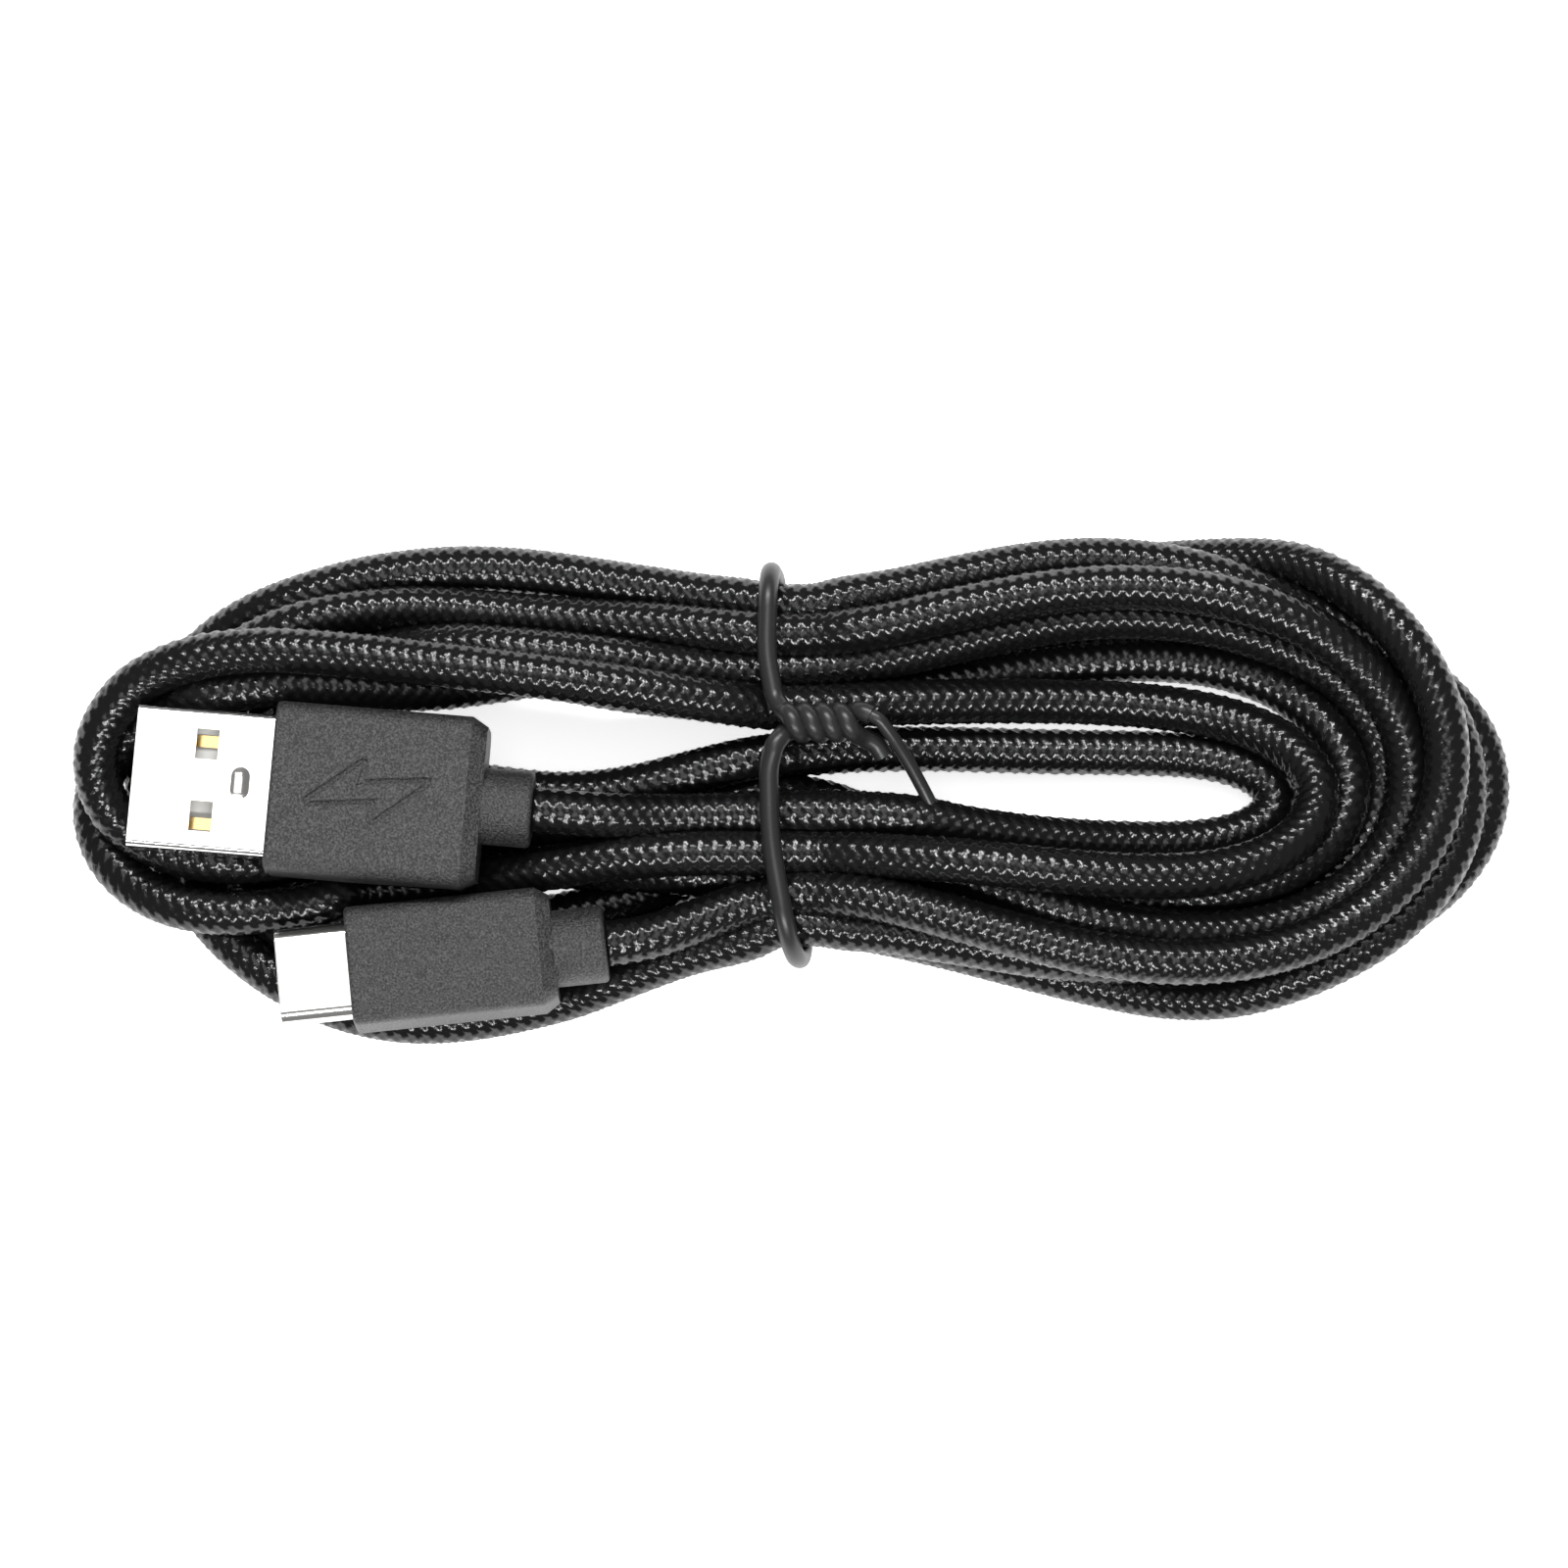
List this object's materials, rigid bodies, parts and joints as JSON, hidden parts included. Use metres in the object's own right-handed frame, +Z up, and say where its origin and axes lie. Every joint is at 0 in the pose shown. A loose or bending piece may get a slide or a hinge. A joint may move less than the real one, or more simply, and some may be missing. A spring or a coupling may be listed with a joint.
{
  "type": "charging cable",
  "caption": "Braided charging cable with a USB-A plug and a USB-C plug, wound in a flat oval hank and held at its waist by a coated wire tie.",
  "frame": {"origin": "middle of the whole cable's outline, on the surface that it lies on", "axes": "+Z up, +X along the hank away from the plugs, +Y across it from the USB-C plug's side to the USB-A plug's side"},
  "size_m": [0.1234, 0.0438, 0.0136],
  "materials": {
    "braid": "woven nylon braid, black with a slight sheen",
    "tie_coat": "satin black PVC coat",
    "steel_wire": "plain steel",
    "nickel": "bright nickel plate",
    "tinplate": "dull tinplate",
    "white_plastic": "white moulded plastic",
    "black_plastic": "black moulded plastic",
    "gold": "gold plate",
    "inner_mould": "natural polyethylene",
    "overmould": "black PVC with a fine spark-eroded texture",
    "jacket": "black PVC jacket",
    "board": "green circuit board",
    "solder": "tin solder",
    "wire_red": "red insulation",
    "wire_white": "white insulation",
    "wire_green": "green insulation",
    "wire_black": "black insulation"
  },
  "bodies": {
    "cable": {"cord_hank": "braid", "cord_lead_a": "braid", "cord_lead_c": "braid", "tie_sheath": "tie_coat", "tie_wire_core": "steel_wire"},
    "usb_a_plug": {"usb_a_contacts": "gold", "usb_a_inner_mould": "inner_mould", "usb_a_insulator": "white_plastic", "usb_a_jacket_end": "jacket", "usb_a_overmould": "overmould", "usb_a_rear_shield": "tinplate", "usb_a_shell": "nickel", "usb_a_solder": "solder", "usb_a_strain_relief": "overmould", "usb_a_wire_black": "wire_black", "usb_a_wire_green": "wire_green", "usb_a_wire_red": "wire_red", "usb_a_wire_white": "wire_white"},
    "usb_c_plug": {"usb_c_circuit_board": "board", "usb_c_contact_housing": "black_plastic", "usb_c_contacts_lower": "gold", "usb_c_contacts_upper": "gold", "usb_c_ground_springs": "steel_wire", "usb_c_inner_mould": "inner_mould", "usb_c_jacket_end": "jacket", "usb_c_latch_spring": "steel_wire", "usb_c_overmould": "overmould", "usb_c_rear_shield": "tinplate", "usb_c_resistor": "black_plastic", "usb_c_shell": "nickel", "usb_c_solder": "solder", "usb_c_strain_relief": "overmould", "usb_c_wire_black": "wire_black", "usb_c_wire_green": "wire_green", "usb_c_wire_red": "wire_red", "usb_c_wire_white": "wire_white"}
  },
  "joints": [
    {"name": "usb_a_lead_bend", "type": "hinge", "parent": "cable", "child": "usb_a_plug", "pos_m": [-0.0133, -0.00303, 0.00845], "axis": [0.0837, 0.9965, 0], "range_deg": [0, 25], "deforming": ["cord_lead_a"]},
    {"name": "usb_c_lead_bend", "type": "hinge", "parent": "cable", "child": "usb_c_plug", "pos_m": [-0.0106, -0.01275, 0.00795], "axis": [-0.1045, 0.9945, 0], "range_deg": [0, 25], "deforming": ["cord_lead_c"]}
  ]
}
